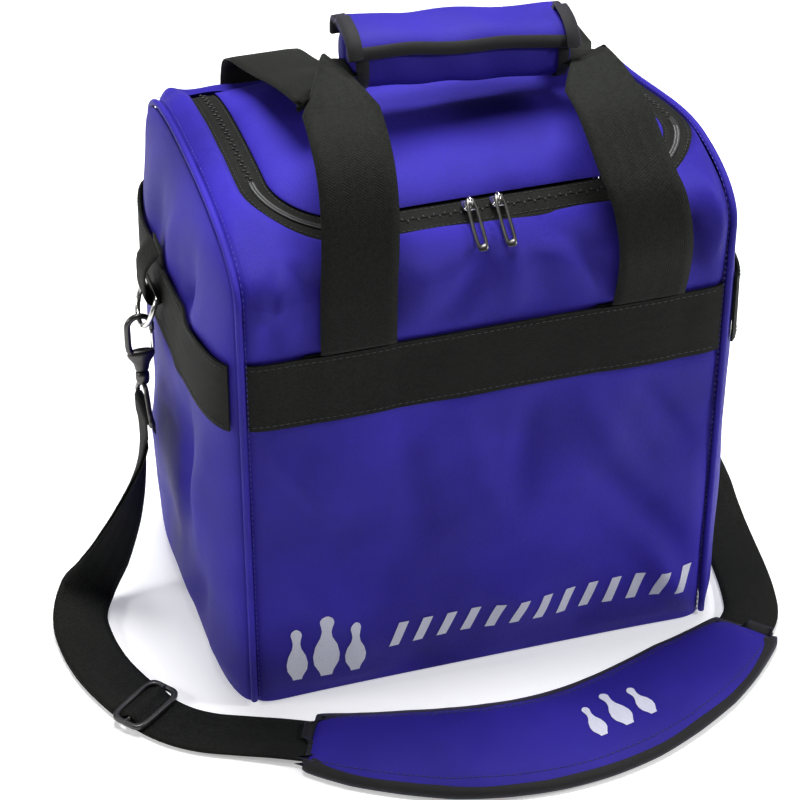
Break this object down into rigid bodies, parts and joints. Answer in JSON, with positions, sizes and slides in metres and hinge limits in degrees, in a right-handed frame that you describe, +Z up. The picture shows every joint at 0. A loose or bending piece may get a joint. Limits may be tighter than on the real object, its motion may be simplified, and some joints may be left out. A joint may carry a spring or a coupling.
{
  "type": "bowling ball bag",
  "caption": "Soft bag for one bowling ball: zipped lid, webbing carry handles with a padded wrap, side rings and a clip-on padded shoulder strap.",
  "frame": {"origin": "middle of the base, on the floor it stands on", "axes": "+Z up, the front panel with the straight handle webbing faces -Y, +X to the bag's own left as it faces the viewer's right"},
  "size_m": [0.5056, 0.3823, 0.4442],
  "materials": {
    "fabric": "woven nylon, violet blue, slight sheen",
    "webbing": "woven webbing, black, matt",
    "binding": "edge binding tape, black",
    "foam": "closed-cell foam, dark grey",
    "board": "stiffener sheet, black",
    "zip_coil": "coil zip teeth, black",
    "plastic": "moulded slider, black",
    "nickel": "nickel plate, polished",
    "gunmetal": "dark nickel plate, satin"
  },
  "bodies": {
    "bag": {"front_panel": "fabric", "back_panel": "fabric", "top_surround": "fabric", "left_side_panel": "fabric", "right_side_panel": "fabric", "left_piping": "fabric", "right_piping": "fabric", "base_panel": "fabric", "base_board": "board", "ball_cup": "foam", "front_band": "webbing", "back_band": "webbing", "left_side_band": "webbing", "right_side_band": "webbing", "front_left_handle_foot": "webbing", "front_right_handle_foot": "webbing", "back_left_handle_foot": "webbing", "back_right_handle_foot": "webbing", "zipper_tape_outer": "webbing", "zipper_teeth_outer": "zip_coil", "left_ring_tab": "webbing", "right_ring_tab": "webbing", "left_hook_eye": "gunmetal", "right_hook_eye": "gunmetal", "strap_web": "webbing", "strap_return_web": "webbing", "strap_slider": "plastic", "pad_base": "foam", "pad_top": "fabric"},
    "lid": {"lid_panel": "fabric", "zipper_tape_inner": "webbing", "zipper_teeth_inner": "zip_coil"},
    "left_slider": {"left_zip_slider": "nickel"},
    "right_slider": {"right_zip_slider": "nickel"},
    "left_pull": {"left_zip_pull": "gunmetal"},
    "right_pull": {"right_zip_pull": "gunmetal"},
    "front_handle": {"front_handle_web": "webbing", "front_grip_pad": "fabric"},
    "back_handle": {"back_handle_web": "webbing", "back_grip_pad": "fabric"},
    "flap": {"wrap_flap": "fabric", "wrap_flap_binding": "binding"},
    "left_ring": {"left_d_ring": "nickel"},
    "right_ring": {"right_d_ring": "nickel"},
    "left_hook": {"left_hook_body": "gunmetal"},
    "right_hook": {"right_hook_body": "gunmetal"},
    "left_gate": {"left_hook_gate": "nickel"},
    "right_gate": {"right_hook_gate": "nickel"}
  },
  "joints": [
    {"name": "lid_hinge", "type": "hinge", "parent": "bag", "child": "lid", "pos_m": [0, 0.0966, 0.34653], "axis": [-1, 0, 0], "range_deg": [0, 88]},
    {"name": "front_handle_swing", "type": "hinge", "parent": "bag", "child": "front_handle", "pos_m": [0, -0.1217, 0.28], "axis": [1, 0, 0], "range_deg": [0, 128]},
    {"name": "back_handle_swing", "type": "hinge", "parent": "bag", "child": "back_handle", "pos_m": [0, 0.1217, 0.28], "axis": [-1, 0, 0], "range_deg": [0, 76]},
    {"name": "wrap_flap_open", "type": "hinge", "parent": "back_handle", "child": "flap", "pos_m": [0, 0.0118, 0.4256], "axis": [-1, 0, 0], "range_deg": [0, 124]},
    {"name": "left_zip_slide", "type": "slide", "parent": "lid", "child": "left_slider", "axis": [-1, 0, 0], "range_m": [0, 0.052]},
    {"name": "left_pull_swing", "type": "hinge", "parent": "left_slider", "child": "left_pull", "pos_m": [-0.0085, -0.0946, 0.35346], "axis": [-1, 0, 0], "range_deg": [0, 95]},
    {"name": "right_zip_slide", "type": "slide", "parent": "lid", "child": "right_slider", "axis": [1, 0, 0], "range_m": [0, 0.052]},
    {"name": "right_pull_swing", "type": "hinge", "parent": "right_slider", "child": "right_pull", "pos_m": [0.0085, -0.0946, 0.35346], "axis": [-1, 0, 0], "range_deg": [0, 95]},
    {"name": "left_ring_swing", "type": "hinge", "parent": "bag", "child": "left_ring", "pos_m": [-0.1882, 0.015, 0.256], "axis": [0, 1, 0], "range_deg": [-3, 2]},
    {"name": "left_hook_swivel", "type": "hinge", "parent": "bag", "child": "left_hook", "pos_m": [-0.19783, 0.015, 0.19133], "axis": [0, 0, 1], "range_deg": [-20, 20]},
    {"name": "left_gate_open", "type": "hinge", "parent": "left_hook", "child": "left_gate", "pos_m": [-0.18963, 0.015, 0.20763], "axis": [0, -1, 0], "range_deg": [0, 25], "stiffness_Nm_per_rad": 0.02, "springref_deg": -11.46},
    {"name": "right_ring_swing", "type": "hinge", "parent": "bag", "child": "right_ring", "pos_m": [0.1882, 0.015, 0.256], "axis": [0, -1, 0], "range_deg": [-3, 2]},
    {"name": "right_hook_swivel", "type": "hinge", "parent": "bag", "child": "right_hook", "pos_m": [0.19783, 0.015, 0.19133], "axis": [0, 0, 1], "range_deg": [-20, 20]},
    {"name": "right_gate_open", "type": "hinge", "parent": "right_hook", "child": "right_gate", "pos_m": [0.18963, 0.015, 0.20763], "axis": [0, 1, 0], "range_deg": [0, 25], "stiffness_Nm_per_rad": 0.02, "springref_deg": -11.46}
  ],
  "couplings": [
    {"joint": "front_handle_swing", "follows": "lid_hinge", "ratio": 1.45},
    {"joint": "back_handle_swing", "follows": "lid_hinge", "ratio": 0.85},
    {"joint": "wrap_flap_open", "follows": "lid_hinge", "ratio": 1.4}
  ]
}
